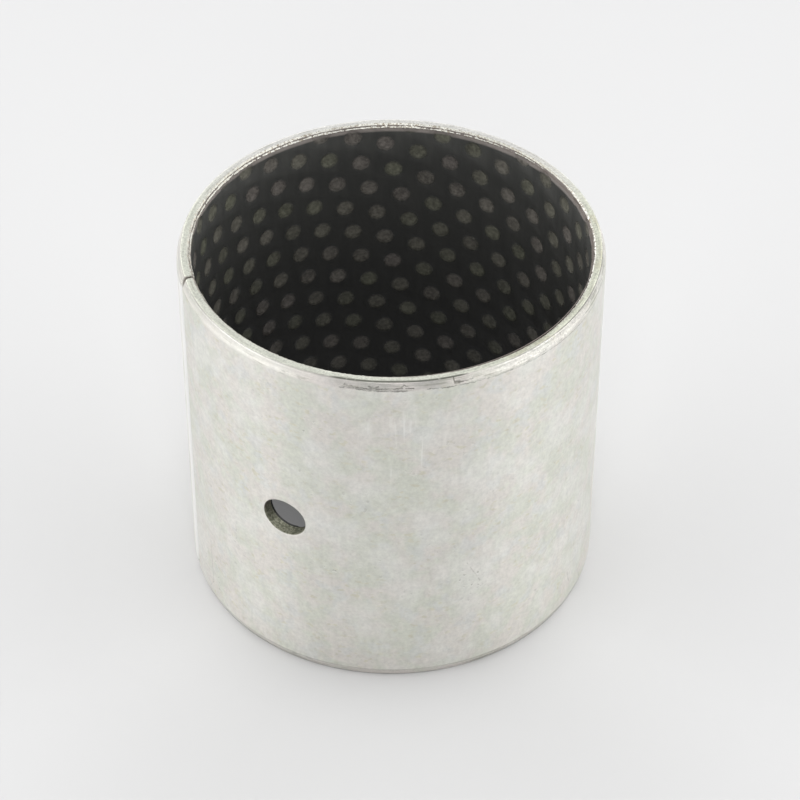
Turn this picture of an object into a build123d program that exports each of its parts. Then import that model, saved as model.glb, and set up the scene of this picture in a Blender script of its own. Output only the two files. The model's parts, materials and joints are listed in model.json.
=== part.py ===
from build123d import *

import os
from math import ceil, degrees, hypot, pi

# Wrapped plain bearing bushing: a steel back rolled up with its indented polymer lining.
#
# Millimetres, +Z up. The axis is Z and the origin is the centre of the bottom end face, so the
# bushing stands on its end from z = 0 to z = length. The oil hole looks along -Y.

# Fitted sizes of the bushing
bore_diameter = 70.0
outside_diameter = 75.0
length = 70.0

# Layers of the wall
lining_thickness = 0.4

# Ends: a long 21 degree chamfer outside, a small edge break inside
chamfer_height = 1.7
chamfer_depth = 0.65
break_height = 0.35
break_depth = 0.25

# Butt joint between the two ends of the rolled strip
joint_angle = -135.0
joint_gap = 0.3
joint_bevel = 0.3

# Oil hole through the middle of the wall
oil_hole_diameter = 8.0
oil_hole_angle = -90.0

# Grease indents, rolled into the flat strip in slanting rows. The two steps lead from an indent
# to its neighbours, and each has a pitch and a slant to the strip. The anchor is one indent,
# by its angle round the bore and its height.
indent_pitches = (6.24, 6.03)
indent_slants = (15.3, 76.0)
anchor_angle = 122.1
anchor_height = 44.05
indent_mouth_diameter = 3.3
indent_floor_diameter = 2.9
indent_depth = 0.28
indent_sides = 6
indent_edge_margin = 0.9

# Worked out from the above
bore_radius = bore_diameter / 2
outside_radius = outside_diameter / 2
bond_radius = bore_radius + lining_thickness
degrees_per_mm = degrees(1 / bore_radius)
joint_arc = joint_gap * degrees_per_mm
strip_length = 2 * pi * bore_radius - joint_gap
cutter_overlap = 0.2
wall_cut = outside_radius - bore_radius + 2 * cutter_overlap


def wall_plane(angle, radius, height):
    """Plane across the wall at an angle round the axis, facing outwards, with its x along Z."""
    outwards = Vector(1, 0, 0).rotate(Axis.Z, angle)
    return Plane(outwards * radius + Vector(0, 0, height), x_dir=(0, 0, 1), z_dir=outwards)


def outside_bond(edge):
    """Whether an edge lies in the steel, outside the face where the lining is bonded on."""
    return hypot(edge.center().X, edge.center().Y) > bond_radius


def indent_planes():
    """A plane on the bore for each indent whose centre lies inside the strip's edges."""
    steps = []
    for pitch, slant in zip(indent_pitches, indent_slants):
        steps.append(Vector(pitch, 0, 0).rotate(Axis.Z, slant))
    anchor = Vector((anchor_angle - joint_angle) / degrees_per_mm - joint_gap / 2, anchor_height, 0)
    reach = ceil(hypot(strip_length, length) / min(indent_pitches))
    planes = []
    for along in range(-reach, reach + 1):
        for across in range(-reach, reach + 1):
            centre = anchor + steps[0] * along + steps[1] * across
            inside_joint = indent_edge_margin < centre.X < strip_length - indent_edge_margin
            inside_ends = indent_edge_margin < centre.Y < length - indent_edge_margin
            if inside_joint and inside_ends:
                angle = joint_angle + joint_arc / 2 + centre.X * degrees_per_mm
                planes.append(wall_plane(angle, bore_radius, centre.Y))
    return planes


os.makedirs("parts", exist_ok=True)

# Bonded strip, both layers together, rolled from one side of the joint round to the other
with BuildPart() as rolled_strip:
    with BuildSketch(Plane.XZ.rotated((0, 0, joint_angle + joint_arc / 2))):
        with BuildLine():
            Polyline(
                (bore_radius + break_depth, 0),
                (outside_radius - chamfer_depth, 0),
                (outside_radius, chamfer_height),
                (outside_radius, length - chamfer_height),
                (outside_radius - chamfer_depth, length),
                (bore_radius + break_depth, length),
                (bore_radius, length - break_height),
                (bore_radius, break_height),
                close=True,
            )
        make_face()
    revolve(axis=Axis.Z, revolution_arc=360 - joint_arc)
    strip_ends = faces().filter_by(GeomType.PLANE).filter_by(Axis.Z, reverse=True)
    chamfer(strip_ends.edges().filter_by(outside_bond), length=joint_bevel)
    with BuildSketch(wall_plane(oil_hole_angle, bore_radius - cutter_overlap, length / 2)):
        Circle(oil_hole_diameter / 2)
    extrude(amount=wall_cut, mode=Mode.SUBTRACT)

# Cutter for one indent, wide at the bore and narrow at its floor
indent_slope = (indent_mouth_diameter - indent_floor_diameter) / 2 / indent_depth
with BuildPart() as indent:
    with BuildSketch(Plane.XY.offset(-cutter_overlap)):
        RegularPolygon(indent_mouth_diameter / 2 + indent_slope * cutter_overlap, indent_sides)
    with BuildSketch(Plane.XY.offset(indent_depth)):
        RegularPolygon(indent_floor_diameter / 2, indent_sides)
    loft()

# Steel back: the outer layer of the strip
with BuildPart() as steel_shell:
    add(rolled_strip.part)
    with Locations((0, 0, length / 2)):
        Cylinder(bond_radius, length + 2 * cutter_overlap, mode=Mode.SUBTRACT)

# Polymer lining: the inner layer, with the indents open to the bore
with BuildPart() as polymer_lining:
    add(rolled_strip.part)
    with Locations((0, 0, length / 2)):
        Cylinder(bond_radius, length + 2 * cutter_overlap, mode=Mode.INTERSECT)
    with Locations(*indent_planes()):
        add(indent.part, mode=Mode.SUBTRACT)

steel_shell.part.label = "steel_shell"
export_step(steel_shell.part, "parts/steel_shell.step")

polymer_lining.part.label = "polymer_lining"
export_step(polymer_lining.part, "parts/polymer_lining.step")
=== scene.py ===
"""Looks of the lined wrapped bushing: tinned steel back, black indented lining, pale studio."""

import json
from functools import reduce
from math import atan2, cos, exp, inf, pi, radians, sin, sqrt

import bmesh
import bpy
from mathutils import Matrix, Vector, noise


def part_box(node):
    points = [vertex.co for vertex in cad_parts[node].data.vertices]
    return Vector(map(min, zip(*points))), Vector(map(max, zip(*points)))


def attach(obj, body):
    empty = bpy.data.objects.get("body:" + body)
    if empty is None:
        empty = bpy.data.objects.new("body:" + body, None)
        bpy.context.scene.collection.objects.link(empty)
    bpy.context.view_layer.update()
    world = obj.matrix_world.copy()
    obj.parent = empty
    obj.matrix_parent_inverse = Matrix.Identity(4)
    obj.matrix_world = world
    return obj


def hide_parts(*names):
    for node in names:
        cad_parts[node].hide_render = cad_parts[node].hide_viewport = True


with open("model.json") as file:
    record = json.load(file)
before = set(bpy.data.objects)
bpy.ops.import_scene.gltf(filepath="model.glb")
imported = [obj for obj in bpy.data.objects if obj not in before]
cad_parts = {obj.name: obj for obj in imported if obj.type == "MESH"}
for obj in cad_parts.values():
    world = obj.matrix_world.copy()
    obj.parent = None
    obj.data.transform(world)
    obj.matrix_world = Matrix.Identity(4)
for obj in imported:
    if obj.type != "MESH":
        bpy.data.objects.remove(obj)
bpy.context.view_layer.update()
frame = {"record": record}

MM = 0.001
HAIR = 0.01 * MM

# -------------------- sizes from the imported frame

mounts = {mount["name"]: mount for mount in frame["record"]["mounts"]}
shell_low, shell_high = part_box("steel_shell")
_, lining_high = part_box("polymer_lining")

LENGTH = shell_high.z - shell_low.z
OUTER = mounts["housing_seat"]["dims"]["r_mm"] * MM
BORE = mounts["shaft_bore"]["dims"]["r_mm"] * MM
BOND = lining_high.x
CHAMFER_HEIGHT = (LENGTH - mounts["housing_seat"]["dims"]["length_mm"] * MM) / 2
HOLE_RADIUS = mounts["oil_hole"]["dims"]["r_mm"] * MM
HOLE_HEIGHT = mounts["oil_hole"]["pos_m"][2]

# -------------------- sizes of the looks

CREST = OUTER - 0.65 * MM
TORN_RADIUS = BORE + 0.58 * MM
HOLE_ANGLE = radians(-90)
HOLE_EDGE = 0.15 * MM
HOLE_WIDE = 1.04
HOLE_TALL = 0.93

JOINT_ANGLE = radians(-135)
JOINT_GAP = 0.3 * MM
JOINT_ROUNDING = 0.85 * MM
END_ROUNDING = 0.12 * MM
JOINT_ARC = JOINT_GAP / BORE

# Grease indents: steps along the strip to the neighbours, by pitch and slant, and one indent
INDENT_STEPS = [
    Vector((cos(radians(slant)), sin(radians(slant)))) * pitch
    for pitch, slant in ((6.24 * MM, 15.3), (6.03 * MM, 76.0))
]
INDENT_COUNT = 67
ANCHOR_ANGLE = radians(122.1)
ANCHOR_HEIGHT = 44.05 * MM
INDENT_RADIUS = 1.72 * MM
INDENT_DEPTH = 0.28 * MM

# -------------------- shader writing

COLOUR_MIX_INPUTS = (0, 6, 7)
COLOUR_MIX_OUTPUT = 2


def arithmetic(operation):
    """A method that puts a wire and another wire or number through a Math node."""
    return lambda self, other: self.math(operation, self, other)


class Wire:
    """One output of a node tree. Arithmetic on it adds Math nodes."""

    __add__ = __radd__ = arithmetic("ADD")
    __mul__ = __rmul__ = arithmetic("MULTIPLY")
    __sub__ = arithmetic("SUBTRACT")
    __truediv__ = arithmetic("DIVIDE")
    __pow__ = arithmetic("POWER")
    greatest = arithmetic("MAXIMUM")
    least = arithmetic("MINIMUM")

    def __init__(self, tree, socket):
        self.tree = tree
        self.socket = socket

    def math(self, operation, *values, clamp=False):
        node = self.tree.nodes.new("ShaderNodeMath")
        node.operation = operation
        node.use_clamp = clamp
        for socket, value in zip(node.inputs, values):
            plug(self.tree, socket, value)
        return Wire(self.tree, node.outputs[0])

    def __rsub__(self, other):
        return self.math("SUBTRACT", other, self)

    def held(self):
        """The value kept between 0 and 1."""
        return self.math("ADD", self, 0.0, clamp=True)

    def size(self):
        return self.math("ABSOLUTE", self)

    def whole(self):
        return self.math("FLOOR", self)

    def rise(self, low, high):
        """0 below low, 1 above high, and a smooth rise between them."""
        node = self.tree.nodes.new("ShaderNodeMapRange")
        node.interpolation_type = "SMOOTHSTEP"
        for name, value in (("Value", self), ("From Min", low), ("From Max", high)):
            plug(self.tree, node.inputs[name], value)
        return Wire(self.tree, node.outputs[0])

    def rise_mm(self, low, high):
        """A rise between two measures in millimetres."""
        return self.rise(low * MM, high * MM)


def plug(tree, socket, value):
    """Link a wire to an input, or set the input to a plain value."""
    if isinstance(value, Wire):
        tree.links.new(value.socket, socket)
    elif isinstance(value, (tuple, list)) and socket.type == "RGBA" and len(value) == 3:
        socket.default_value = (*value, 1.0)
    else:
        socket.default_value = value


class Tree:
    """A node tree under construction. What its nodes give comes as wires."""

    def __init__(self, tree):
        self.tree = tree
        self.tree.nodes.clear()

    def node(self, kind, *values, settings=None, output=0, **inputs):
        """Any node: the values or wires of its first inputs, and of others by name."""
        made = self.tree.nodes.new(kind)
        for name, value in (settings or {}).items():
            setattr(made, name, value)
        sockets = list(zip(made.inputs, values))
        sockets += [(made.inputs[name.replace("_", " ")], inputs[name]) for name in inputs]
        for socket, value in sockets:
            plug(self.tree, socket, value)
        return Wire(self.tree, made.outputs[output])

    def end(self, kind, result):
        """The tree's output node, fed with its result."""
        plug(self.tree, self.tree.nodes.new(kind).inputs[0], result)

    def vector(self, operation, *values, output="Vector", **inputs):
        """A Vector Math node's result: a vector, or a number where output is Value."""
        settings = {"operation": operation}
        return self.node("ShaderNodeVectorMath", *values, settings=settings, output=output, **inputs)

    def scaled(self, vector, factor):
        """A vector made longer or shorter, or a colour made lighter or darker."""
        return self.vector("SCALE", vector, Scale=factor)

    def parts(self, place):
        """The x, y and z of a place."""
        outputs = self.node("ShaderNodeSeparateXYZ", place).socket.node.outputs
        return [Wire(self.tree, output) for output in outputs]


class Finish(Tree):
    """A surface finish under construction, round one Principled shader."""

    def __init__(self, name):
        self.material = bpy.data.materials.new(name)
        self.material.use_nodes = True
        super().__init__(self.material.node_tree)
        self.place = self.node("ShaderNodeTexCoord", output="Object")

    def noise(self, place, scale, detail=2.0, roughness=0.5):
        inputs = {"Vector": place, "Scale": scale, "Detail": detail, "Roughness": roughness}
        return self.node("ShaderNodeTexNoise", **inputs)

    def mix(self, factor, first, second):
        """Colour between two colours."""
        made = self.node("ShaderNodeMix", settings={"data_type": "RGBA"}).socket.node
        for index, value in zip(COLOUR_MIX_INPUTS, (factor, first, second)):
            plug(self.tree, made.inputs[index], value)
        return Wire(self.tree, made.outputs[COLOUR_MIX_OUTPUT])

    def blended(self, factor, first, second):
        """Number between two numbers."""
        return factor * (second - first) + first

    def joined(self, first, second, third):
        return self.node("ShaderNodeCombineXYZ", first, second, third)

    def attribute(self, name):
        settings = {"attribute_name": name}
        return self.node("ShaderNodeAttribute", settings=settings, output="Fac")

    def bumped(self, relief, depth):
        return self.node("ShaderNodeBump", Height=relief, Distance=depth, Strength=1.0)

    def finished(self, **inputs):
        """The material, with the inputs of its shader by name."""
        self.end("ShaderNodeOutputMaterial", self.node("ShaderNodeBsdfPrincipled", **inputs))
        return self.material


def strip_place(degrees_round):
    """Place along the unrolled outside of a direction in degrees round the axis."""
    turn = radians(degrees_round) - JOINT_ANGLE - pi
    return atan2(sin(turn), cos(turn)) * OUTER


def on_strip(degrees_round, below):
    """Place on the unrolled outside, from a direction in degrees and millimetres below the end."""
    return Vector((strip_place(degrees_round), LENGTH - below * MM, 0.0))


class StripFinish(Finish):
    """A finish of the rolled strip, built up in layers on its places as if it were flat."""

    def __init__(self, name):
        super().__init__(name)
        self.across, outwards, self.height = self.parts(self.place)
        turn = JOINT_ANGLE + pi
        first = self.across * cos(turn) + outwards * sin(turn)
        second = outwards * cos(turn) - self.across * sin(turn)
        self.along = second.math("ARCTAN2", second, first) * OUTER
        self.radius = (self.across * self.across + outwards * outwards) ** 0.5
        self.from_end = self.height.least(LENGTH - self.height)
        self.wall = self.stretched(radius=0.0)
        self.line = self.stretched(height=0.0, radius=0.0)
        self.tone = None

    def stretched(self, along=1.0, height=1.0, radius=1.0):
        """Place by distance along the strip, height and radius, each of them scaled."""
        return self.joined(self.along * along, self.height * height, self.radius * radius)

    def paint(self, share, colour):
        """Cover a share of the tone with a colour."""
        self.tone = self.mix(share, self.tone, colour)

    def shade(self, factor):
        """Make the tone lighter or darker."""
        self.tone = self.scaled(self.tone, factor)

    def facing(self, degrees_round, low, high):
        """A rise between two cosines of the angle from a direction round the axis, in degrees."""
        offset = (self.along - strip_place(degrees_round)) / OUTER
        return offset.math("COSINE", offset).rise(low, high)

    def distance(self, place, target):
        return self.vector("DISTANCE", place, target, output="Value")

    def stroke(self, place, start, end, half_width):
        """Distance from a straight stroke on the unrolled wall, counted in half widths."""
        step = end - start
        offset = self.vector("SUBTRACT", place, start)
        share = self.vector("DOT_PRODUCT", offset, step / step.length_squared, output="Value")
        return self.distance(offset, self.scaled(step, share.held())) / half_width

    def strokes(self, place, marks):
        """Distance from the nearest stroke of a table, counted in half widths."""
        distances = [
            self.stroke(place, on_strip(*start), on_strip(*end), half_width * MM)
            for start, end, half_width in marks
        ]
        return reduce(Wire.least, distances)


# -------------------- marks on the steel

# Direction that faces the camera, in degrees round the axis
FRONT = -60.0

# Rub marks on the top chamfer: from and to (direction in degrees, mm below the end), half width
RUB_MARKS = [
    ((-73.4, 1.45), (-68.5, 1.15), 0.075),
    ((-68.5, 1.15), (-65.4, 1.22), 0.075),
    ((-65.4, 1.22), (-57.2, 1.10), 0.080),
    ((-69.8, 1.37), (-64.6, 1.54), 0.075),
    ((-64.6, 1.54), (-56.0, 1.58), 0.090),
    ((-50.9, 1.42), (-45.0, 1.71), 0.060),
    ((-71.9, 0.83), (-70.5, 1.25), 0.110),
    ((-70.6, 0.80), (-69.6, 1.30), 0.085),
    ((-65.8, 0.76), (-63.2, 1.45), 0.110),
    ((-65.2, 1.40), (-63.2, 0.80), 0.090),
    ((-57.5, 0.95), (-56.6, 0.55), 0.070),
    ((-56.6, 0.55), (-55.6, 1.05), 0.070),
    ((-41.6, 1.17), (-38.8, 1.05), 0.060),
    ((-45.6, 1.62), (-36.9, 1.73), 0.060),
    ((-36.9, 1.73), (-27.0, 1.86), 0.036),
    ((-27.0, 1.86), (-12.0, 1.97), 0.040),
    ((-12.0, 1.97), (8.0, 2.15), 0.040),
]

# Deeper marks of the same kind: a nick that runs down from the crest, and dashes
NICKS = [
    ((-43.9, 0.15), (-43.7, 1.00), 0.095),
    ((-43.5, 1.06), (-42.4, 1.12), 0.210),
    ((-42.6, 1.10), (-41.3, 1.15), 0.090),
    ((-56.3, 1.16), (-54.3, 1.19), 0.090),
]

# Scratches on the wall, given the same way
SCRATCHES = [
    ((-121.6, 57.0), (-121.2, 65.0), 0.060),
    ((-121.2, 65.0), (-123.6, 67.4), 0.050),
    ((-39.4, 43.6), (-35.5, 48.8), 0.060),
    ((-1.1, 61.6), (0.4, 65.2), 0.090),
    ((7.0, 66.0), (7.6, 67.4), 0.090),
]

# Groups of dings as direction in degrees, mm below the top end and reach in millimetres
DING_GROUPS = [
    (-77.6, 43.2, 3.2),
    (-81.5, 11.8, 2.6),
    (-89.6, 20.9, 1.6),
    (-38.4, 48.7, 4.5),
    (-121.0, 62.0, 5.5),
]

# Painted shade on the crest round the axis, set against its highlight, where a negative share paints
# it lighter: direction, the two cosines of its rise, share
CREST_PAINTED_SHADE = [
    (-50.0, -0.1, 0.6, 0.42),
    (-142.0, 0.85, 0.97, 0.24),
    (58.0, 0.88, 0.97, 0.20),
    (0.0, 0.80, 0.95, 0.22),
    (-98.0, 0.93, 0.985, -0.20),
    (-26.0, 0.93, 0.985, -0.26),
]

# -------------------- tinned steel

GREENISH_TIN = (0.672, 0.684, 0.612)
WARM_TIN = (0.720, 0.694, 0.652)
BLUISH_TIN = (0.682, 0.693, 0.676)
PALE_TIN = (0.775, 0.772, 0.735)
BRIGHT_TIN = (0.86, 0.86, 0.83)
YELLOWISH_STAIN = (0.640, 0.620, 0.500)
SPECK = (0.22, 0.215, 0.17)
SCRATCH = (0.25, 0.245, 0.20)
RUBBED_TIN = (0.722, 0.701, 0.652)
PINKISH_TIN = (0.735, 0.690, 0.655)
RUB_MARK = (0.115, 0.115, 0.095)
SHOULDER_SHADE = (0.34, 0.33, 0.30)
FOOT_SHADOW = (0.30, 0.33, 0.27)
TURNED_STEEL = (0.615, 0.626, 0.553)
RUBBED_STEEL = (0.594, 0.606, 0.510)
CLEAN_STEEL = (0.668, 0.660, 0.632)
BROWNISH_STAIN = (0.46, 0.43, 0.31)
TURNING_LINE = (0.26, 0.26, 0.20)
BURR_SHADE = (0.10, 0.105, 0.085)
DULL_FLAKE = (0.50, 0.50, 0.445)
GLINTING_FLAKE = (0.84, 0.83, 0.77)
SHALLOW_PIT = (0.38, 0.345, 0.28)
SHADED_PIT = (0.25, 0.21, 0.16)
JOINT_SHEEN = (0.92, 0.92, 0.91)
JOINT_SHADE = (0.150, 0.130, 0.110)
SHEARED_DARK = (0.16, 0.165, 0.115)
SHEARED_PALE = (0.42, 0.42, 0.33)
PURPLISH_DIRT = (0.16, 0.115, 0.105)

# Lines round the rim, by their radius
BURR_RADIUS = 36.81 * MM
BURR_SHIFT = 0.11 * MM
BRUSH_RADIUS = 36.35 * MM

# Bump depth of the grain, and how much lighter the painted highlight makes the outer margin of the
# end face
STEEL_RELIEF = 0.010 * MM
MARGIN_HIGHLIGHT = 0.14


class TinnedSteel(StripFinish):
    """Rolled steel strip with a thin matt tin flash, machined ends and a torn inner edge."""

    def __init__(self):
        super().__init__("tinned_steel")
        self.strip = self.stretched()
        self.grain = self.noise(self.place, 1500.0, detail=4.0, roughness=0.75)
        self.streaks = self.noise(self.stretched(height=0.08, radius=0.0), 1300.0, detail=3.0)
        self.warm = self.noise(self.place, 165.0, detail=2.5, roughness=0.6)
        self.turned = self.noise(self.stretched(along=0.08), 2300.0, detail=4.0, roughness=0.7)
        self.wobble = self.noise(self.line, 900.0, detail=3.0)
        self.rubbed = self.noise(self.stretched(along=0.5), 420.0, detail=3.0).rise(0.35, 0.65)

    def zones(self):
        """Where the end faces, the torn edge, the chamfers, the crest and the hole's wall lie."""
        pressed = self.radius + self.facing(-102.0, 0.75, 0.95) * 0.16 * MM
        flat = self.from_end.rise_mm(0.10, 0.02)
        self.end_face = flat * pressed.rise(TORN_RADIUS, TORN_RADIUS + 0.1 * MM)
        self.torn = pressed.rise(TORN_RADIUS + 0.14 * MM, TORN_RADIUS + 0.02 * MM)
        self.torn = self.torn * self.from_end.rise_mm(1.0, 0.9)
        self.chamfer = self.from_end.rise(CHAMFER_HEIGHT + 0.3 * MM, CHAMFER_HEIGHT - 0.3 * MM)
        self.chamfer = self.chamfer * (1 - self.end_face) * (1 - self.torn)
        self.crest = (self.radius - (CREST - 0.03 * MM)).size().rise_mm(0.13, 0.05)
        self.crest = self.crest * self.from_end.rise_mm(0.4, 0.2)
        wide, tall = self.across / HOLE_WIDE, (self.height - HOLE_HEIGHT) / HOLE_TALL
        hole_reach = (wide ** 2 + tall ** 2) ** 0.5
        self.hole_wall = hole_reach.rise(HOLE_RADIUS + 0.12 * MM, HOLE_RADIUS + 0.03 * MM)
        self.hole_wall = self.hole_wall * self.facing(-90.0, 0.5, 0.8)

    def tin_flash(self):
        """Cloudy tin with yellowish stains, drawing streaks along the axis, fine pores, and painted
        shade: darker straight at the front, lighter to both sides of it.
        """
        clouds = self.noise(self.place, 120.0, roughness=0.6)
        crossed = self.joined(self.height, self.along, self.radius)
        cool = self.noise(crossed, 210.0, detail=2.5, roughness=0.6)
        self.tone = self.mix(self.warm.rise(0.40, 0.60), GREENISH_TIN, WARM_TIN)
        self.paint(cool.rise(0.52, 0.66) * 0.6, BLUISH_TIN)
        self.paint(clouds.rise(0.44, 0.66) * 0.6, PALE_TIN)
        stains = self.noise(self.stretched(height=1.8), 620.0).rise(0.58, 0.70)
        self.paint(stains * clouds.rise(0.60, 0.40) * 0.7, YELLOWISH_STAIN)
        drawn = self.noise(self.strip, 70.0, detail=1.0).rise(0.40, 0.62)
        crinkle = self.noise(self.place, 750.0, roughness=0.6) - 0.5
        fine = (self.grain - 0.5) * 0.30 + crinkle * 0.22
        self.shade(1 + (self.streaks - 0.5) * drawn * 0.12 + fine)
        # Painted light and shade: the tin darker straight at the front and lighter to both sides of
        # it
        painted_light_beside_front = self.facing(FRONT, 0.15, 0.72) * self.facing(FRONT, 1.0, 0.80)
        self.shade(0.955 + painted_light_beside_front * 0.13)
        wiped = self.distance(self.strip, on_strip(-58.5, 14.0) + Vector((0, 0, OUTER)))
        wiped = wiped.rise_mm(11, 3)
        self.paint(self.streaks.rise(0.60, 0.72) * wiped * 0.5, BRIGHT_TIN)

    def dings(self):
        """Small dings in loose groups, each with a painted highlight next to it, and a few
        scratches.
        """
        groups = self.noise(self.place, 130.0, detail=1.0).rise(0.52, 0.68) * 0.4
        for direction, below, reach in DING_GROUPS:
            distance = self.distance(self.wall, on_strip(direction, below))
            groups = groups.greatest(distance.rise(reach * 1.2 * MM, reach * 0.4 * MM))
        scatter = self.noise(self.place, 1000.0)
        raised = self.vector("ADD", self.place, (0.0, 0.0, 0.22 * MM))
        # Painted highlight: a brighter patch next to each ding
        painted_highlight_next_to_ding = self.noise(raised, 1000.0).rise(0.60, 0.72)
        self.specks = scatter.rise(0.63, 0.73) * groups
        self.paint(painted_highlight_next_to_ding * groups * 0.55, BRIGHT_TIN)
        self.paint(self.specks * 0.55, SPECK)
        scratched = self.strokes(self.wall, SCRATCHES).rise(3.0, 0.3)
        self.paint(scratched * scatter.rise(0.35, 0.55) * 0.32, SCRATCH)

    def chamfer_marks(self):
        """Chamfers rubbed paler, the top one with dark marks pressed along its lower edge."""
        rubbed_tin = self.mix(self.facing(FRONT, 0.85, 0.95), RUBBED_TIN, PINKISH_TIN)
        self.paint(self.chamfer * (0.35 + self.rubbed * 0.5), rubbed_tin)
        marks = self.noise(self.stretched(0.4, 1.5, 0.0), 1500.0, detail=4.0, roughness=0.65)
        low_edge = self.from_end.rise_mm(0.8, 1.2) * self.from_end.rise_mm(1.9, 1.5)
        spread = self.noise(self.line, 55.0, detail=1.0).rise(0.46, 0.62)
        smears = marks.rise(0.50, 0.60) * low_edge * spread * 0.4
        jagged = self.noise(self.wall, 2600.0) - 0.5
        along = self.along + ((marks - 0.5) * 0.9 + jagged * 0.5) * MM
        height = self.height + ((self.wobble - 0.5) * 0.5 + jagged * 0.35) * MM
        rubs = self.strokes(self.joined(along, height, 0.0), RUB_MARKS).rise(2.6, 0.2)
        rubs = rubs * self.wobble.rise(0.28, 0.48) * marks.rise(0.30, 0.55) * 0.85
        nicks = self.strokes(self.wall, NICKS).rise(1.9, 0.4) * marks.rise(0.2, 0.5) * 0.95
        self.smears = smears.greatest(rubs).greatest(nicks)
        self.paint(self.smears * 0.85, RUB_MARK)

    def painted_foot_shade(self):
        """Bottom chamfer: a painted dark shade line at its shoulder, and a painted greenish contact
        shadow at its foot.
        """
        # Painted shade along the bottom chamfer's shoulder, and a painted contact shadow at the very
        # foot
        shoulder = (self.height - CHAMFER_HEIGHT).size().rise_mm(0.24, 0.06)
        self.paint(shoulder * 0.32, SHOULDER_SHADE)
        self.paint(self.height.rise_mm(0.35, 0.05) * 0.5, FOOT_SHADOW)

    def machined_end(self):
        """End face with turning lines, a painted highlight on its outer margin and painted light on
        some sides, and the lathe's chamfer.
        """
        rubbed_side = self.facing(12.0, 0.45, 0.95)
        pitted = self.noise(self.place, 2600.0, roughness=0.7) - 0.5
        coarse = 0.95 + 0.45 * rubbed_side
        lathe = 1 + (self.turned - 0.5) * coarse + (self.grain - 0.5) * 0.5 + pitted * coarse
        face = self.mix(rubbed_side, TURNED_STEEL, RUBBED_STEEL)
        face = self.mix(self.facing(120.0, 0.2, 0.8), face, CLEAN_STEEL)
        stained = self.noise(self.stretched(along=0.5), 520.0).rise(0.50, 0.62)
        face = self.mix(stained * rubbed_side * 0.45, face, BROWNISH_STAIN)
        # Painted highlight on the outer margin of the end face, lighter or darker by side
        margin = self.radius.rise(CREST - 0.50 * MM, CREST - 0.15 * MM)
        margin_highlight = self.facing(130.0, 0.75, 0.95) * 0.12 - self.facing(58.0, 0.88, 0.97) * 0.13
        outside = self.radius.rise(36.0 * MM, BRUSH_RADIUS)
        inside = self.radius.rise(BRUSH_RADIUS, 36.1 * MM)
        # Painted light: the end face made lighter on some sides round the axis
        painted_light_by_side = self.facing(4.0, 0.92, 0.985) * outside * 0.12
        painted_light_by_side = painted_light_by_side + self.facing(52.0, 0.90, 0.98) * 0.08
        painted_light_by_side = painted_light_by_side + self.facing(FRONT, 0.88, 0.97) * inside * 0.08
        machined = self.scaled(face, lathe + painted_light_by_side + (margin_highlight + MARGIN_HIGHLIGHT) * margin)
        rippled = ((self.turned - 0.5) * 0.8 + pitted * 0.5) * (0.5 + rubbed_side * 1.6)
        self.shade(1 + rippled * self.chamfer)
        self.paint(self.end_face, machined)
        scored = self.noise(self.stretched(along=0.05), 2900.0, detail=1.0).rise(0.58, 0.64)
        patchy = self.noise(self.strip, 130.0).rise(0.36, 0.56)
        lines = self.turned.rise(0.55, 0.66).greatest(scored) * patchy
        lines = lines * (self.end_face + self.chamfer).held()
        self.paint(lines * (0.4 + 0.2 * rubbed_side), TURNING_LINE)

    def painted_rim_shade(self):
        """Crest and upper chamfer with painted shade and painted light by side, a painted shade line
        on the end face, and a painted dark reflection along the raised edge at the front.
        """
        crest_shade_by_side = [self.facing(*rise) * share for *rise, share in CREST_PAINTED_SHADE]
        # Painted shade and painted light on the crest, by direction round the axis
        self.shade(1 - self.crest * reduce(Wire.__add__, crest_shade_by_side))
        off_front = 1 - self.facing(FRONT, 0.88, 0.97)
        upper = self.chamfer * self.from_end.rise_mm(1.25, 0.55) * off_front
        # Painted shade on the upper chamfer away from the front
        self.shade(1 - upper * self.facing(-66.0, -0.15, 0.25) * 0.16)
        left_of_front = self.facing(-70.0, 0.94, 0.985)
        rim_shade_line = (self.radius - BURR_RADIUS + left_of_front * BURR_SHIFT).size()
        rim_shade_line = rim_shade_line.rise_mm(0.22, 0.08)
        # Painted shade along a line of the end face left of the front
        self.shade(1 - rim_shade_line * self.end_face * left_of_front * 0.28)
        near_front = (self.along - strip_place(-58.0)).size().rise_mm(12.5, 10.5)
        burr_shade = rim_shade_line * self.from_end.rise_mm(0.25, 0.15) * near_front
        burr_shade = burr_shade * self.height.rise(LENGTH / 2, LENGTH) * self.wobble.rise(0.28, 0.45)
        # Painted dark reflection along the raised edge at the front
        self.paint(burr_shade * 0.85, BURR_SHADE)

    def torn_edge(self):
        """Torn inner edge: bright flaking steel with dark pits between, with painted glints and
        deeper painted shade in the pits on some sides.
        """
        pits = self.noise(self.strip, 2600.0, roughness=0.7).rise(0.50, 0.60)
        # Painted glints and painted shade: more contrast on the sides facing 20 and 130 degrees
        glinting_sides = self.facing(20.0, 0.75, 0.95).greatest(self.facing(130.0, 0.70, 0.90) * 0.5)
        flakes_and_glints = self.mix(glinting_sides, DULL_FLAKE, GLINTING_FLAKE)
        pits_and_shade = self.mix(glinting_sides, SHALLOW_PIT, SHADED_PIT)
        self.paint(self.torn, self.mix(pits, flakes_and_glints, pits_and_shade))

    def joint(self):
        """Painted brown shade round the two ends of the strip, a painted dark reflection on the wall
        below it, and a painted sheen on the far side.
        """
        off_joint = pi * OUTER - self.along.size()
        corner = self.radius.rise_mm(36.2, 36.9) * self.from_end.rise_mm(1.9, 0.9)
        # Painted brown shade round the joint's rounded corners
        joint_shade = (off_joint - corner * 0.18 * MM).rise_mm(0.50, 0.16) * 0.75
        far_side_sheen = off_joint.rise_mm(4.5, 1.5) * self.along.rise_mm(0.0, 1.0)
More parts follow.
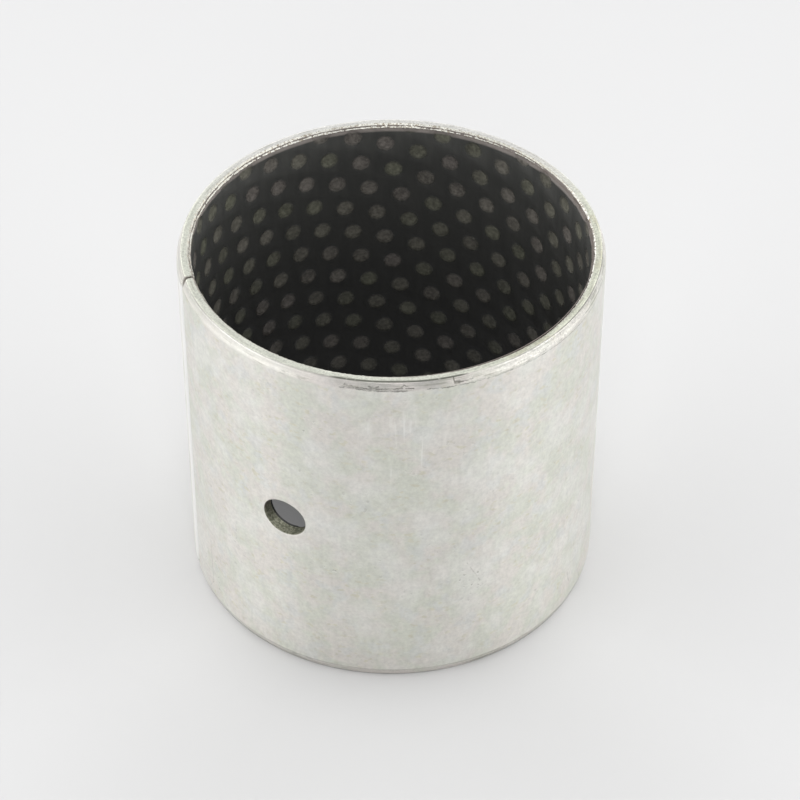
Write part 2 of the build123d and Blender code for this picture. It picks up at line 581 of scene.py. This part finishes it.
        # Painted sheen on the far side of the joint
        self.paint(far_side_sheen * self.from_end.rise_mm(1.5, 2.5) * 0.8, JOINT_SHEEN)
        # Painted dark reflection down the wall next to the joint
        dark_reflection_band = self.height.rise_mm(46, 27) * self.height.rise_mm(23.5, 24.5)
        dark_reflection_band = dark_reflection_band * self.along.rise_mm(0.0, -1.0)
        joint_shade = joint_shade.greatest(off_joint.rise_mm(1.25, 0.5) * dark_reflection_band * 0.8)
        self.paint(joint_shade, JOINT_SHADE)

    def punched_wall(self):
        """Wall of the oil hole, sheared and bruised by the punch."""
        sheared = self.noise(self.place, 2200.0, detail=3.0, roughness=0.7)
        bruised = self.mix(sheared.rise(0.35, 0.65), SHEARED_DARK, SHEARED_PALE)
        left = self.across.rise_mm(0.0, -3.2)
        left_top = left * self.height.rise(HOLE_HEIGHT - 2 * MM, HOLE_HEIGHT + 2 * MM)
        self.paint(self.hole_wall, self.mix(left_top * 0.8, bruised, PURPLISH_DIRT))

    def roughness(self):
        rough = 0.39 + (self.warm - 0.5) * 0.2 + (self.grain - 0.5) * 0.25
        rough = self.blended(self.chamfer, rough, 0.34 + (self.rubbed - 0.5) * 0.1)
        rough = self.blended(self.end_face, rough, 0.36 + (self.turned - 0.5) * 0.3)
        rough = self.blended(self.crest, rough, 0.62)
        rough = self.blended(self.torn, rough, 0.30)
        return self.blended(self.hole_wall, rough, 0.55).held()

    def relief(self):
        relief = self.grain * 0.4 + self.streaks * 0.15 - self.specks * 1.2
        relief = relief + self.torn * self.noise(self.place, 4200.0) * 6.0 - self.smears * 1.5
        return self.bumped(relief, STEEL_RELIEF)


def tinned_steel():
    """The finish of the steel back, layer on layer."""
    finish = TinnedSteel()
    finish.zones()
    finish.tin_flash()
    finish.dings()
    finish.chamfer_marks()
    finish.painted_foot_shade()
    finish.machined_end()
    finish.painted_rim_shade()
    finish.torn_edge()
    finish.joint()
    finish.punched_wall()
    metallic = finish.blended(finish.torn, 0.85, 0.35)
    return finish.finished(
        Base_Color=finish.tone, Metallic=metallic, Roughness=finish.roughness(),
        Normal=finish.relief())


# -------------------- black polymer

DARK_POLYMER = (0.031, 0.032, 0.031)
WIPED_POLYMER = (0.055, 0.055, 0.051)
GREENISH_INDENT = (0.128, 0.130, 0.098)
BROWNISH_INDENT = (0.150, 0.136, 0.124)
SCUFFED_EDGE_HIGHLIGHT = (0.235, 0.212, 0.196)
BROWN_LINE = (0.10, 0.075, 0.060)
POLYMER_RELIEF = 0.05 * MM


def black_polymer():
    """Black sliding layer, its indents a dull grey-brown, with painted shade darker towards the
    bottom of the bore and painted light near its ends.
    """
    finish = StripFinish("black_polymer")
    sunk = finish.attribute("sunk")
    wiped = finish.noise(finish.stretched(height=0.12, radius=0.0), 700.0, detail=3.0)
    mottle = finish.noise(finish.place, 1500.0, detail=3.0, roughness=0.7)
    worn_off = finish.noise(finish.place, 160.0, detail=1.0)

    finish.tone = finish.mix(wiped, DARK_POLYMER, WIPED_POLYMER)
    # Painted shade: darker towards the bottom of the bore, with painted light near its ends
    lit_mouth = finish.from_end.rise_mm(9, 2.5) * 0.45
    finish.shade(0.62 + finish.height.rise_mm(22, 62) * 0.38 + lit_mouth)
    indent_tone = finish.mix(finish.attribute("tint"), GREENISH_INDENT, BROWNISH_INDENT)
    indent_tone = finish.scaled(indent_tone, 0.58 + mottle.rise(0.3, 0.75) * 0.72 + (worn_off - 0.5) * 0.7)
    finish.paint(sunk.rise(0.0, 1.1), indent_tone)

    # Cut edge: a brown line under the torn steel, and a worn grey one below it, made lighter as a
    # painted highlight
    ragged = (finish.noise(finish.line, 1600.0) - 0.5) * 0.5 * MM
    scuffed_highlight = finish.from_end.rise_mm(1.65, 1.20) * (0.65 + mottle * 0.7)
    brown = (finish.from_end + ragged).rise_mm(0.86, 0.74)
    finish.paint(scuffed_highlight.held(), SCUFFED_EDGE_HIGHLIGHT)
    finish.paint(brown * 0.45, BROWN_LINE)

    rough = (0.42 - sunk * (1 - sunk) * 0.9 + (mottle - 0.5) * 0.25).held()
    normal = finish.bumped(mottle * sunk + wiped * 0.2, POLYMER_RELIEF)
    return finish.finished(Base_Color=finish.tone, Roughness=rough, Normal=normal)


# -------------------- mesh helpers

SHARP_EDGE = radians(30)


def in_scene(name, data):
    """A new object in the scene."""
    made = bpy.data.objects.new(name, data)
    bpy.context.scene.collection.objects.link(made)
    return made


def mesh_from(shape, name):
    """A bmesh's mesh, with all its faces turned outwards."""
    bmesh.ops.recalc_face_normals(shape, faces=shape.faces)
    mesh = bpy.data.meshes.new(name)
    shape.to_mesh(mesh)
    shape.free()
    return mesh


def evaluated(carrier):
    """The mesh that an object has after its modifiers; the object itself goes."""
    bpy.context.view_layer.update()
    graph = bpy.context.evaluated_depsgraph_get()
    mesh = bpy.data.meshes.new_from_object(carrier.evaluated_get(graph))
    bpy.data.objects.remove(carrier)
    return mesh


def finished_piece(name, mesh, finish, node):
    """Put a mesh in the scene as a piece of the object that stands for a CAD node."""
    mesh.name = name
    mesh.materials.clear()
    mesh.materials.append(finish)
    mesh.polygons.foreach_set("use_smooth", [True] * len(mesh.polygons))
    mesh.set_sharp_from_angle(angle=SHARP_EDGE)
    piece = in_scene(name, mesh)
    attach(piece, "root")
    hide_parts(node)


def on_wall(angle, radius, height):
    return Vector((radius * cos(angle), radius * sin(angle), height))


def from_joint(angle):
    """Angle from the joint round to a direction."""
    return (angle - JOINT_ANGLE) % (2 * pi)


def signed_turn(angle, middle):
    """Angle from one direction to another, from minus half a turn to half a turn."""
    return (angle - middle + pi) % (2 * pi) - pi


def rounded_corner(before, corner, after, reach):
    """Points that round a corner of a section off, from reach before it to reach after it."""
    start = corner + (before - corner).normalized() * reach
    end = corner + (after - corner).normalized() * reach
    points = []
    for share in (0.0, 0.3, 0.7, 1.0):
        points.append(start * (1 - share) ** 2 + corner * 2 * share * (1 - share) + end * share ** 2)
    return points


def bridge(shape, ring, following):
    """Quads between two closed rings of as many points."""
    for index in range(len(ring)):
        other = (index + 1) % len(ring)
        shape.faces.new((ring[index], ring[other], following[other], following[index]))


# -------------------- steel back

SHELL_COLUMNS = 720
JOINT_COLUMNS = [place * MM for place in (0.0, 0.03, 0.08, 0.16, 0.27, 0.42, 0.62, 0.86)]
LIP_RADIUS = BORE + 0.03 * MM
LIP_DEPTH = 0.60 * MM
LIP_UNDERSIDE = 0.25 * MM
SHOULDER_ROUNDING = 0.30 * MM
CREST_ROUNDING = 0.28 * MM
HOLE_WINDOW = 5.5 * MM
HOLE_ROWS = 12
WALL_ROWS = [9 * MM, 16 * MM, 23 * MM]
WALL_ROWS += [HOLE_HEIGHT + HOLE_WINDOW * (2 * row / HOLE_ROWS - 1) for row in range(HOLE_ROWS + 1)]
WALL_ROWS += [47 * MM, 54 * MM, 61 * MM]

# Wear of the torn lip: how far it swings, spreads outwards, is pressed in and is worn away,
# the last three each round a direction and over a spread in degrees
TORN_SWING = 0.11 * MM
LIP_SPREAD_REACH = 0.62 * MM
LIP_SPREAD, LIP_SPREAD_ROUND = 0.33 * MM, (-16, 35)
LIP_PRESS, LIP_PRESS_ROUND = 0.17 * MM, (-102, 34)
LIP_LOSS, LIP_LOSS_ROUND = 0.66, (35, 42)

# Dents as angle, height, half width, half height and depth
DENTS = [
    (radians(-42.6), LENGTH - 0.85 * MM, 0.75 * MM, 0.45 * MM, 0.08 * MM),
    (radians(-73.0), LENGTH - 1.4 * MM, 1.10 * MM, 0.25 * MM, 0.05 * MM),
    (radians(-56.5), LENGTH - 1.3 * MM, 1.40 * MM, 0.22 * MM, 0.05 * MM),
]


def half_section():
    """The outside of the steel from the wall up over the top end to the bond: radius, height."""
    wall = Vector((OUTER, LENGTH / 2))
    shoulder = Vector((OUTER, LENGTH - CHAMFER_HEIGHT))
    crest = Vector((CREST, LENGTH))
    torn = Vector((TORN_RADIUS, LENGTH))
    lip = Vector((LIP_RADIUS, LENGTH - LIP_DEPTH))
    points = rounded_corner(wall, shoulder, crest, SHOULDER_ROUNDING)
    points += [shoulder.lerp(crest, share) for share in (0.34, 0.5, 0.66, 0.82)]
    points += rounded_corner(shoulder, crest, torn, CREST_ROUNDING)
    points += [crest.lerp(torn, share) for share in (0.35, 0.6, 0.8, 0.95)]
    points += [torn.lerp(lip, share) for share in (0.0, 0.15, 0.3, 0.45, 0.6, 0.8, 1.0)]
    points.append(Vector((BOND, LENGTH - LIP_UNDERSIDE)))
    return points


def shell_rows():
    """Closed section of the steel: up the outside, over the top, down the bond, round the foot."""
    top = half_section()
    foot = [Vector((point.x, LENGTH - point.y)) for point in reversed(top)]
    outside = [Vector((OUTER, height)) for height in WALL_ROWS]
    inside = [Vector((BOND, height)) for height in reversed(WALL_ROWS)]
    return foot + outside + top + inside


def shell_angles():
    """Column angles from one side of the joint round to the other, close together at both."""
    edge = [distance / OUTER for distance in JOINT_COLUMNS]
    span = 2 * pi - JOINT_ARC
    between = span - 2 * edge[-1]
    plain = [edge[-1] + between * step / SHELL_COLUMNS for step in range(1, SHELL_COLUMNS)]
    offsets = edge + plain + [span - offset for offset in reversed(edge)]
    return [JOINT_ANGLE + JOINT_ARC / 2 + offset for offset in offsets]


def joint_fall(angle, rounding):
    """How far the steel falls back near the joint, where the corners of the strip are round."""
    offset = from_joint(angle) - JOINT_ARC / 2
    distance = min(offset, 2 * pi - JOINT_ARC - offset) * OUTER
    rest = max(0.0, rounding - distance)
    return rounding - sqrt(max(0.0, rounding ** 2 - rest ** 2))


def near(angle, middle, spread):
    """1 at a direction round the axis, falling off to both sides of it."""
    return exp(-(signed_turn(angle, radians(middle)) / radians(spread)) ** 2)


def within(value, low, high):
    """Share of the way from low to high, kept between 0 and 1."""
    return max(0.0, min(1.0, (value - low) / (high - low)))


def dented(angle, height):
    """How deep the dents are at a place on the steel."""
    depth = 0.0
    for dent_angle, dent_height, wide, high, deep in DENTS:
        across = signed_turn(angle, dent_angle) * OUTER / wide
        along = (height - dent_height) / high
        depth += deep * exp(-across ** 2 - along ** 2)
    return depth


def worn(point, angle):
    """Place of a section point on the rolled steel, with its round joint, torn lip and dents."""
    radius, height = point
    from_end = min(height, LENGTH - height)
    inwards = 1 if height < LENGTH / 2 else -1
    place = on_wall(angle, radius, height)
    on_lip = from_end < LIP_DEPTH + HAIR
    over_bond = point.x < TORN_RADIUS - HAIR and from_end < LIP_UNDERSIDE - HAIR

    if on_lip and point.x < TORN_RADIUS + LIP_SPREAD_REACH:
        share = within(point.x, TORN_RADIUS + LIP_SPREAD_REACH, TORN_RADIUS)
        radius += share * LIP_SPREAD * near(angle, *LIP_SPREAD_ROUND)
        pressed = within(point.x, LIP_RADIUS, TORN_RADIUS)
        radius -= share * LIP_PRESS * near(angle, *LIP_PRESS_ROUND) * pressed
    if over_bond or point.x < BOND - HAIR:
        lost = LIP_LOSS * near(angle, *LIP_LOSS_ROUND)
        radius -= (point.x - TORN_RADIUS) * lost
        height -= inwards * from_end * lost

    radius -= joint_fall(angle, JOINT_ROUNDING) * within(point.x, BOND, CREST)
    height += inwards * joint_fall(angle, END_ROUNDING) * max(0.0, 1 - from_end / (2 * MM))
    if on_lip and point.x < TORN_RADIUS + 0.02 * MM:
        fall = joint_fall(angle, JOINT_ROUNDING * 0.5)
        radius += fall * within(point.x, TORN_RADIUS + 0.1 * MM, BOND)
        if abs(from_end - LIP_UNDERSIDE) > HAIR:
            swing = noise.noise(place * 2400.0) + 0.7 * noise.noise(place * 6000.0)
            radius += swing * TORN_SWING
            lower = abs(noise.noise(place * 1700.0 + Vector((7, 0, 0))))
            lower += 0.5 * noise.noise(place * 5200.0)
            height += inwards * max(0.0, lower) * TORN_SWING
    if point.x > TORN_RADIUS:
        radius -= dented(angle, point.y)
    return on_wall(angle, radius, height)


def window_loop(grid, first, last, rows):
    """Points round a window of the grid, from its lower first corner along its lower edge."""
    loop = [grid[column][rows[0]] for column in range(first, last)]
    loop += [grid[last][row] for row in rows[:-1]]
    loop += [grid[column][rows[-1]] for column in range(last, first, -1)]
    loop += [grid[first][row] for row in reversed(rows[1:])]
    return loop


def hole_ring(shape, loop, reach, radius, share=1.0):
    """A ring of points round the oil hole, or a share of the way to it from a window's edge."""
    count = len(loop)
    columns = (count - 2 * HOLE_ROWS) / 2
    start = HOLE_ANGLE - pi * columns / count
    ring = []
    for index, vertex in enumerate(loop):
        direction = start + 2 * pi * index / count
        across = reach * HOLE_WIDE * cos(direction)
        across = vertex.co.x + (across - vertex.co.x) * share
        height = HOLE_HEIGHT + reach * HOLE_TALL * sin(direction)
        height = vertex.co.z + (height - vertex.co.z) * share
        ring.append(shape.verts.new((across, -sqrt(radius ** 2 - across ** 2), height)))
    return ring


def add_oil_hole(shape, outer_loop, inner_loop):
    """The oil hole's rings, from the window in the outside down its wall to the one in the bond."""
    edge_share = 0.3
    mouth, wall_top = HOLE_RADIUS + HOLE_EDGE, OUTER - HOLE_EDGE
    edge = HOLE_RADIUS + edge_share * HOLE_EDGE, OUTER - edge_share * HOLE_EDGE
    rings = [outer_loop]
    for share in (0.3, 0.6, 0.85, 1.0):
        rings.append(hole_ring(shape, outer_loop, mouth, OUTER, share))
    rings.append(hole_ring(shape, outer_loop, *edge))
    for share in (0.0, 0.25, 0.5, 0.75, 1.0):
        depth = wall_top + (BOND - wall_top) * share
        rings.append(hole_ring(shape, outer_loop, HOLE_RADIUS, depth))
    rings.append(hole_ring(shape, inner_loop, HOLE_RADIUS, BOND, 0.5))
    rings.append(inner_loop)
    for ring, following in zip(rings, rings[1:]):
        bridge(shape, ring, following)


def steel_back():
    """The rolled steel as a grid of columns and rows, with the oil hole let into a window of it."""
    shape = bmesh.new()
    rows, angles = shell_rows(), shell_angles()
    grid = [[shape.verts.new(worn(point, angle)) for point in rows] for angle in angles]
    inside = [
        index for index, angle in enumerate(angles)
        if abs(angle - HOLE_ANGLE) * OUTER < HOLE_WINDOW
    ]
    first, last = inside[0], inside[-1]
    windows = []
    for radius in (OUTER, BOND):
        windows.append([
            index for index, point in enumerate(rows)
            if abs(point.y - HOLE_HEIGHT) < HOLE_WINDOW + HAIR and abs(point.x - radius) < HAIR
        ])
    open_rows = {row for window in windows for row in window[:-1]}
    for column in range(len(angles) - 1):
        left, right = grid[column], grid[column + 1]
        for row in range(len(rows)):
            other = (row + 1) % len(rows)
            if row not in open_rows or column not in range(first, last):
                shape.faces.new((left[row], right[row], right[other], left[other]))
    shape.faces.new(grid[0])
    shape.faces.new(list(reversed(grid[-1])))
    outer_loop = window_loop(grid, first, last, windows[0])
    inner_loop = window_loop(grid, first, last, list(reversed(windows[1])))
    add_oil_hole(shape, outer_loop, inner_loop)
    return mesh_from(shape, "steel_back")


# -------------------- polymer lining

STRIP_END = JOINT_GAP / 2
STRIP_LENGTH = 2 * pi * BORE - JOINT_GAP
LINING_FOOT = LIP_UNDERSIDE + HAIR
LINING_TOP = LENGTH - LINING_FOOT
EDGE_BREAK = 0.85 * MM
EDGE_FALL = 0.27 * MM
LINING_THICKNESS = BOND - BORE
ANCHOR_PLACE = Vector((from_joint(ANCHOR_ANGLE) * BORE, ANCHOR_HEIGHT))
INDENT_SIDES = 16
INDENT_RINGS = [(1.13, 0.0), (0.9, 0.55), (0.6, 1.0)]
CELL_CORNERS = [(-1, -1), (1, -1), (1, 1), (-1, 1)]
SHEET_MARGIN = Vector((12 * MM, 6 * MM))
HOLE_SIDES = 64
PUNCH_LENGTH = 4 * MM
CUT_SNAP = 0.0005 * MM
MERGE_REACH = 0.004 * MM
BORDER_REACH = 0.006 * MM


def indent_cell():
    """One cell of the flat strip, spanned by the two steps, with a round indent in its middle."""
    mesh = bpy.data.meshes.new("indent_cell")
    shape = bmesh.new()
    sunk = shape.verts.layers.float.new("sunk")
    per_side = INDENT_SIDES // 4
    first, second = INDENT_STEPS
    corners = [(first * one + second * two) / 2 for one, two in CELL_CORNERS]
    border = []
    for corner, following in zip(corners, corners[1:] + corners[:1]):
        border += [corner.lerp(following, step / per_side) for step in range(per_side)]
    rings = [[shape.verts.new((point.x, point.y, 0)) for point in border]]
    start = atan2(border[0].y, border[0].x)
    for reach, depth in INDENT_RINGS:
        ring = []
        for index in range(INDENT_SIDES):
            direction = start + 2 * pi * index / INDENT_SIDES
            across = Vector((cos(direction), sin(direction), 0)) * INDENT_RADIUS * reach
            vertex = shape.verts.new(across - Vector((0, 0, INDENT_DEPTH * depth)))
            vertex[sunk] = depth
            ring.append(vertex)
        rings.append(ring)
    for ring, following in zip(rings, rings[1:]):
        bridge(shape, ring, following)
    shape.faces.new(rings[-1])
    shape.to_mesh(mesh)
    shape.free()
    return bpy.data.objects.new("indent_cell", mesh)


class Pattern(Tree):
    """A Geometry Nodes tree under construction, with named inputs."""

    def __init__(self, name):
        super().__init__(bpy.data.node_groups.new(name, "GeometryNodeTree"))
        self.tree.interface.new_socket("Geometry", in_out="OUTPUT", socket_type="NodeSocketGeometry")
        self.entry = self.tree.nodes.new("NodeGroupInput")
        self.values = {}

    def input(self, name, kind, value):
        made = self.tree.interface.new_socket(name, in_out="INPUT", socket_type="NodeSocket" + kind)
        self.values[made.identifier] = value
        return Wire(self.tree, self.entry.outputs[name])

    def mesh(self, result):
        """Run the tree on an empty mesh and give the plain mesh that it makes."""
        self.end("NodeGroupOutput", result)
        carrier = in_scene("carrier", bpy.data.meshes.new("carrier"))
        modifier = carrier.modifiers.new("pattern", "NODES")
        modifier.node_group = self.tree
        for identifier, value in self.values.items():
            modifier[identifier] = value
        return evaluated(carrier)


def indented_sheet(finish):
    """The embossed sheet before it is cut to size: a cell at each crossing of the indent rows."""
    pattern = Pattern("indent_rows")
    cell = pattern.input("Cell", "Object", indent_cell())
    first = pattern.input("First Step", "Vector", INDENT_STEPS[0].to_3d())
    second = pattern.input("Second Step", "Vector", INDENT_STEPS[1].to_3d())
    anchor = pattern.input("Anchor", "Vector", ANCHOR_PLACE.to_3d())
    middle = pattern.input("Strip Middle", "Vector", Vector((STRIP_LENGTH / 2, LENGTH / 2, 0)))
    half_width = pattern.input("Half Width", "Float", STRIP_LENGTH / 2 + SHEET_MARGIN.x)
    half_height = pattern.input("Half Height", "Float", LENGTH / 2 + SHEET_MARGIN.y)
    across = pattern.input("Cells Across", "Int", INDENT_COUNT)
    seed = pattern.input("Seed", "Int", 7)
    material = pattern.input("Finish", "Material", finish)

    # A square of cells, counted from its middle along both steps
    points = pattern.node("GeometryNodePoints", across * across)
    number = pattern.node("GeometryNodeInputIndex")
    half = (across / 2.0).whole()
    column = number.math("MODULO", number, across) - half
    row = (number / across).whole() - half
    offset = pattern.vector("ADD", pattern.scaled(first, column), pattern.scaled(second, row))
    place = pattern.vector("ADD", offset, anchor)
    points = pattern.node("GeometryNodeSetPosition", points, Position=place)

    # Only the cells that the strip or its margin reaches stay
    offset = pattern.vector("ABSOLUTE", pattern.vector("SUBTRACT", place, middle))
    wide, high, _ = pattern.parts(offset)
    too_wide = wide.math("GREATER_THAN", wide, half_width)
    too_high = high.math("GREATER_THAN", high, half_height)
    beyond = too_wide.greatest(too_high)
    points = pattern.node("GeometryNodeDeleteGeometry", points, beyond)

    float_kind = {"data_type": "FLOAT"}
    chance = pattern.node("FunctionNodeRandomValue", settings=float_kind, output=1, Seed=seed)
    cells = pattern.node("GeometryNodeObjectInfo", cell, output="Geometry")
    cells = pattern.node("GeometryNodeInstanceOnPoints", points, Instance=cells)
    on_cells = {"data_type": "FLOAT", "domain": "INSTANCE"}
    cells = pattern.node(
        "GeometryNodeStoreNamedAttribute", cells, True, "tint", chance, settings=on_cells)
    sheet = pattern.node("GeometryNodeRealizeInstances", cells)
    sheet = pattern.node("GeometryNodeMergeByDistance", sheet, Distance=HAIR)
    sheet = pattern.node("GeometryNodeSetMaterial", sheet, Material=material)
    return pattern.mesh(sheet)


def cut(shape, place, direction, drop_beyond=True):
    """Cut the sheet along a straight line, and drop what lies beyond it."""
    everything = list(shape.verts) + list(shape.edges) + list(shape.faces)
    bmesh.ops.bisect_plane(
        shape, geom=everything, dist=CUT_SNAP, plane_co=place, plane_no=direction,
        clear_outer=drop_beyond)


def border_line(shape, axis, value):
    """The sheet's border points that lie on one of its straight edges, in order."""
    border = {vertex for edge in shape.edges if edge.is_boundary for vertex in edge.verts}
    found = [vertex for vertex in border if abs(vertex.co[axis] - value) < BORDER_REACH]
    return sorted(found, key=lambda vertex: vertex.co[1 - axis])


def zipped(shape, lower, upper):
    """Triangles between two straight chains of points that start and end together."""
    low, high = 0, 0
    while low < len(lower) - 1 or high < len(upper) - 1:
        below = lower[low + 1].co.x if low < len(lower) - 1 else inf
        above = upper[high + 1].co.x if high < len(upper) - 1 else inf
        if below <= above:
            shape.faces.new((lower[low], upper[high], lower[low + 1]))
            low += 1
        else:
            shape.faces.new((lower[low], upper[high], upper[high + 1]))
            high += 1


def flat_lining(finish):
    """The flat embossed strip: cut to size, its end breaks pressed, and its back closed."""
    shape = bmesh.new()
    shape.from_mesh(indented_sheet(finish))
    left, right = STRIP_END, STRIP_END + STRIP_LENGTH
    cut(shape, (left, 0, 0), (-1, 0, 0))
    cut(shape, (right, 0, 0), (1, 0, 0))
    cut(shape, (0, LINING_FOOT, 0), (0, -1, 0))
    cut(shape, (0, LINING_TOP, 0), (0, 1, 0))
    for height in (EDGE_BREAK, LENGTH - EDGE_BREAK):
        cut(shape, (0, height, 0), (0, 1, 0), drop_beyond=False)
    bmesh.ops.remove_doubles(shape, verts=shape.verts, dist=MERGE_REACH)
    for vertex in shape.verts:
        from_end = min(vertex.co.y, LENGTH - vertex.co.y)
        pressed = (EDGE_BREAK - from_end) / (EDGE_BREAK - LINING_FOOT) * EDGE_FALL
        vertex.co.z = min(vertex.co.z, -pressed)

    chains = []
    for height in (LINING_FOOT, LINING_TOP):
        front = border_line(shape, 1, height)
        back = [shape.verts.new((*vertex.co.xy, -LINING_THICKNESS)) for vertex in front]
        for index in range(len(front) - 1):
            shape.faces.new((front[index], front[index + 1], back[index + 1], back[index]))
        chains.append(back)
    low_back, high_back = chains
    for side, end in ((left, 0), (right, -1)):
        line = border_line(shape, 0, side)
        front = [vertex for vertex in line if vertex.co.z > -LINING_THICKNESS + HAIR / 2]
        shape.faces.new(front + [high_back[end], low_back[end]])
    zipped(shape, low_back, high_back)
    return mesh_from(shape, "flat_lining")


def punched(mesh, across, height):
    """A flat mesh with the oil hole punched through it."""
    shape = bmesh.new()
    bmesh.ops.create_cone(
        shape, cap_ends=True, segments=HOLE_SIDES, radius1=HOLE_RADIUS, radius2=HOLE_RADIUS,
        depth=PUNCH_LENGTH)
    bmesh.ops.scale(shape, verts=shape.verts, vec=(HOLE_WIDE, HOLE_TALL, 1))
    bmesh.ops.translate(shape, verts=shape.verts, vec=(across, height, 0))
    punch = in_scene("punch", mesh_from(shape, "punch"))
    sheet = in_scene("sheet", mesh)
    modifier = sheet.modifiers.new("hole", "BOOLEAN")
    modifier.operation = "DIFFERENCE"
    modifier.solver = "EXACT"
    modifier.object = punch
    made = evaluated(sheet)
    bpy.data.objects.remove(punch)
    return made


def black_lining(finish):
    """The lining rolled into the steel: the flat strip bent round the bore."""
    shape = bmesh.new()
    shape.from_mesh(punched(flat_lining(finish), from_joint(HOLE_ANGLE) * BORE, HOLE_HEIGHT))
    for vertex in shape.verts:
        across, height, rise = vertex.co
        vertex.co = on_wall(JOINT_ANGLE + across / BORE, BORE - rise, height)
    return mesh_from(shape, "black_lining")


steel_finish = tinned_steel()
polymer_finish = black_polymer()
lining = black_lining(polymer_finish)
finished_piece("steel_back", steel_back(), steel_finish, "steel_shell")
finished_piece("black_lining", lining, polymer_finish, "polymer_lining")

# -------------------- camera

CAMERA_AZIMUTH = radians(30.1)
CAMERA_ELEVATION = radians(41.3)
CAMERA_DISTANCE = 527.8 * MM
CAMERA_LENS = 130.2
SENSOR_WIDTH = 36.0
CAMERA_CLIP = 0.01
AIM_RIGHT = 1.5 * MM
AIM_UP = -1.09 * MM
CENTRE = Vector((0, 0, LENGTH / 2))


def camera_side(elevation):
    """Direction from the part towards the camera's side, at an elevation."""
    ahead = Vector((sin(CAMERA_AZIMUTH), -cos(CAMERA_AZIMUTH), 0)) * cos(elevation)
    return ahead + Vector((0, 0, sin(elevation)))


TOWARDS_CAMERA = camera_side(0.0)
CAMERA_RIGHT = Vector((cos(CAMERA_AZIMUTH), sin(CAMERA_AZIMUTH), 0))


def stand_camera():
    """A long lens that looks down at the part, aimed a little beside its centre."""
    camera = in_scene("camera", bpy.data.cameras.new("camera"))
    camera.data.lens = CAMERA_LENS
    camera.data.sensor_width = SENSOR_WIDTH
    camera.data.clip_start = CAMERA_CLIP
    backwards = camera_side(CAMERA_ELEVATION)
    aim = CENTRE + CAMERA_RIGHT * AIM_RIGHT + backwards.cross(CAMERA_RIGHT) * AIM_UP
    camera.location = CENTRE + backwards * CAMERA_DISTANCE
    camera.rotation_euler = (camera.location - aim).to_track_quat("Z", "Y").to_euler()
    bpy.context.scene.camera = camera


stand_camera()

# -------------------- studio

FLOOR_SIDE = (0.632, 0.632, 0.635)
FLOOR_SHADOW = (0.560, 0.560, 0.562)
FLOOR_ROUGHNESS = 0.9
FLOOR_HALF = 3.0
TENT_SIDES = 3.5
TENT_BACK = 1.05
TENT_OPENING = 0.30
LAMP_DISTANCE = 1.2


def pale_floor():
    """Plain pale sweep, with a painted shadow: a little darker in a wedge from the part towards the
    camera.
    """
    finish = Finish("studio_floor")
    across, outwards, _ = finish.parts(finish.place)
    ahead = across * TOWARDS_CAMERA.x + outwards * TOWARDS_CAMERA.y
    reach = (across * across + outwards * outwards) ** 0.5
    # Painted shadow of the part, falling towards the camera
    wedge = (ahead / reach.greatest(OUTER)).rise(0.55, 1.0)
    tone = finish.mix(wedge, FLOOR_SIDE, FLOOR_SHADOW)
    shape = bmesh.new()
    bmesh.ops.create_grid(shape, x_segments=1, y_segments=1, size=FLOOR_HALF)
    floor = in_scene("studio_floor", mesh_from(shape, "studio_floor"))
    floor.data.materials.append(finish.finished(Base_Color=tone, Roughness=FLOOR_ROUGHNESS))


def studio_tent():
    """A white tent all round: brighter at its sides, dim at the opening on the camera's side."""
    world = bpy.data.worlds.new("studio_tent")
    bpy.context.scene.world = world
    world.use_nodes = True
    tent = Tree(world.node_tree)
    direction = tent.node("ShaderNodeTexCoord", output="Generated")
    front = tent.vector("DOT_PRODUCT", direction, TOWARDS_CAMERA, output="Value")
    side = tent.vector("DOT_PRODUCT", direction, CAMERA_RIGHT, output="Value")
    level = TENT_SIDES * side * side + TENT_BACK * front.rise(0.0, -1.0)
    level = (level - TENT_OPENING * front.rise(0.35, 0.95)).greatest(0.0)
    tent.end("ShaderNodeOutputWorld", tent.node("ShaderNodeBackground", (1.0, 1.0, 1.0), level))


def softbox(name, elevation, size, radiance):
    """A square lamp on the camera's side that looks at the part."""
    lamp = bpy.data.lights.new(name, "AREA")
    lamp.shape = "SQUARE"
    lamp.size = size
    lamp.energy = radiance * pi * size ** 2
    light = in_scene(name, lamp)
    way = camera_side(elevation)
    light.location = CENTRE + way * LAMP_DISTANCE
    light.rotation_euler = way.to_track_quat("Z", "Y").to_euler()


pale_floor()
studio_tent()
softbox("top_softbox", radians(90), size=0.40, radiance=5.0)
softbox("high_softbox", radians(47), size=0.36, radiance=6.3)
softbox("low_softbox", radians(26), size=0.50, radiance=2.6)

bpy.context.scene.view_settings.view_transform = "Standard"
